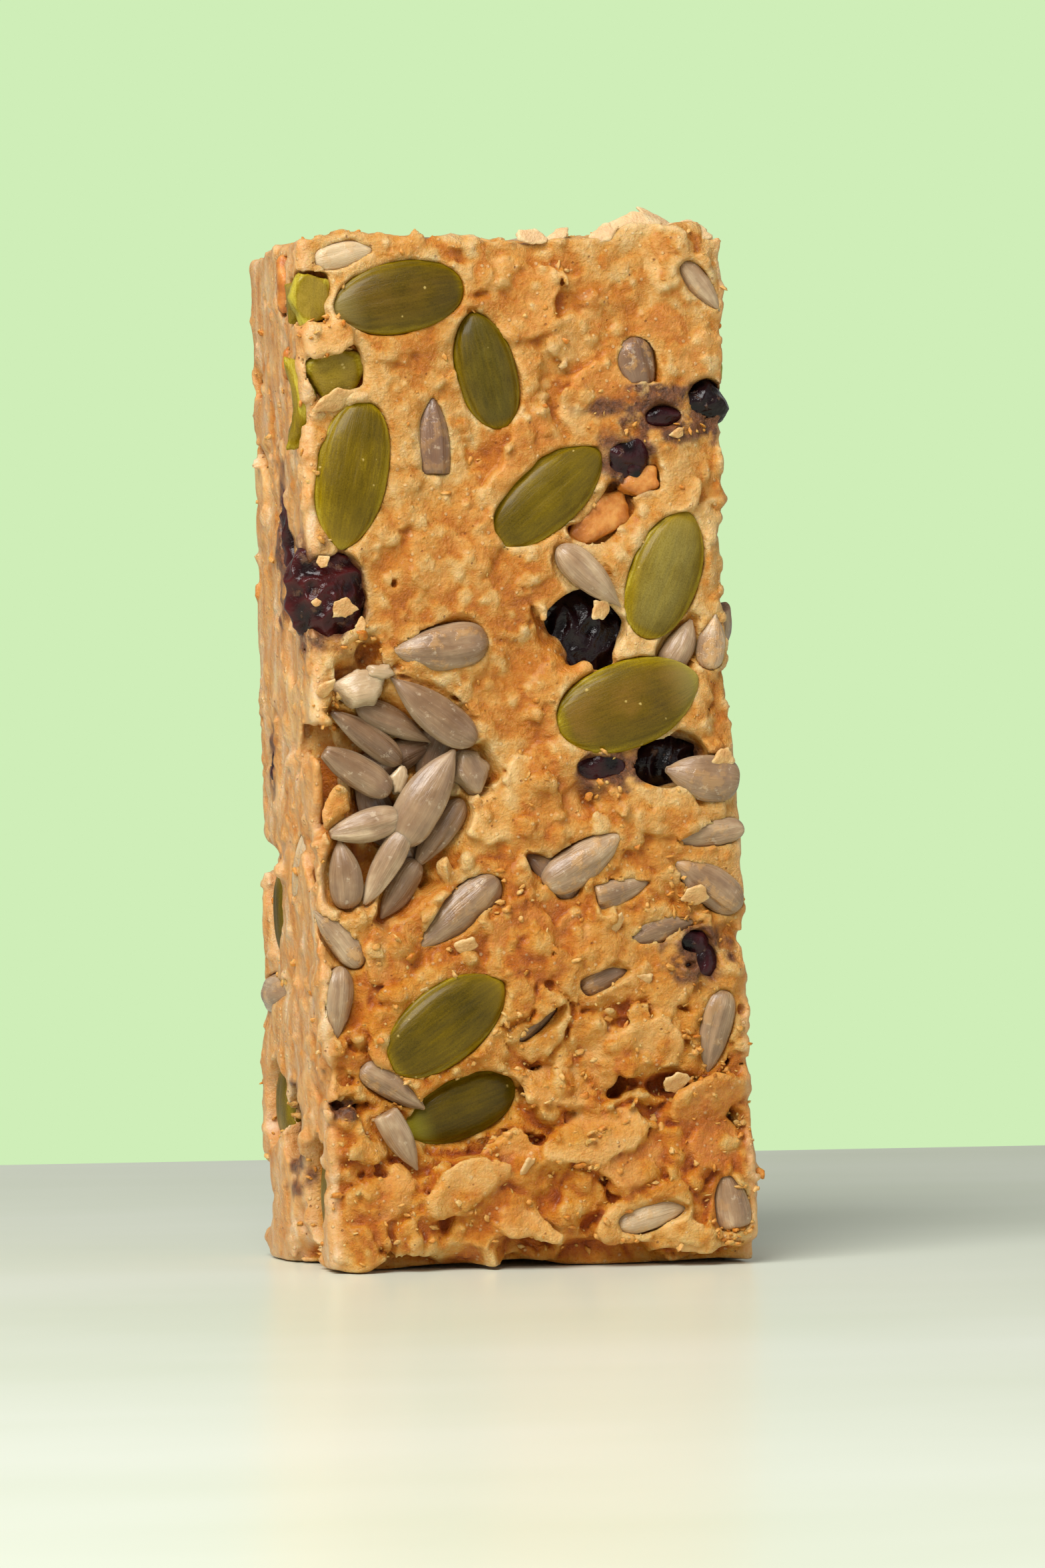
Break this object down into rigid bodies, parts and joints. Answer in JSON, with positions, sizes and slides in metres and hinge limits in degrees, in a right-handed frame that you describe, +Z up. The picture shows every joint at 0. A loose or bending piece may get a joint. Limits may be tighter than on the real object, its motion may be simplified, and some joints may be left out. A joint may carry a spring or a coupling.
{
  "type": "granola bar",
  "caption": "Pressed granola bar standing on its cut end: a lumpy block of oats in nut paste with whole pumpkin seeds, sunflower kernels and dried cranberries set in its faces.",
  "frame": {"origin": "middle of the bar's outline at the height of the base, on the surface it stands on", "axes": "+Z up along the bar's long side, X along its width, -Y out of its broad front face"},
  "size_m": [0.0446, 0.0244, 0.0957],
  "materials": {
    "oat_paste": "rough, moist, golden oats in nut paste",
    "seed_skin": "satin green seed, finely lined",
    "berry_skin": "dark glossy wrinkled dried fruit"
  },
  "bodies": {
    "root": {"oat_block": "oat_paste", "pumpkin_seed_01": "seed_skin", "pumpkin_seed_02": "seed_skin", "pumpkin_seed_03": "seed_skin", "pumpkin_seed_04": "seed_skin", "pumpkin_seed_05": "seed_skin", "pumpkin_seed_06": "seed_skin", "pumpkin_seed_07": "seed_skin", "pumpkin_seed_08": "seed_skin", "pumpkin_seed_09": "seed_skin", "pumpkin_seed_10": "seed_skin", "pumpkin_seed_11": "seed_skin", "pumpkin_seed_12": "seed_skin", "pumpkin_seed_13": "seed_skin", "pumpkin_seed_14": "seed_skin", "pumpkin_seed_15": "seed_skin", "pumpkin_seed_16": "seed_skin", "pumpkin_seed_17": "seed_skin", "pumpkin_seed_18": "seed_skin", "pumpkin_seed_19": "seed_skin", "cranberry_1": "berry_skin", "cranberry_2": "berry_skin", "cranberry_3": "berry_skin", "cranberry_4": "berry_skin", "cranberry_5": "berry_skin", "cranberry_6": "berry_skin", "cranberry_7": "berry_skin", "cranberry_8": "berry_skin", "cranberry_9": "berry_skin"}
  },
  "joints": []
}
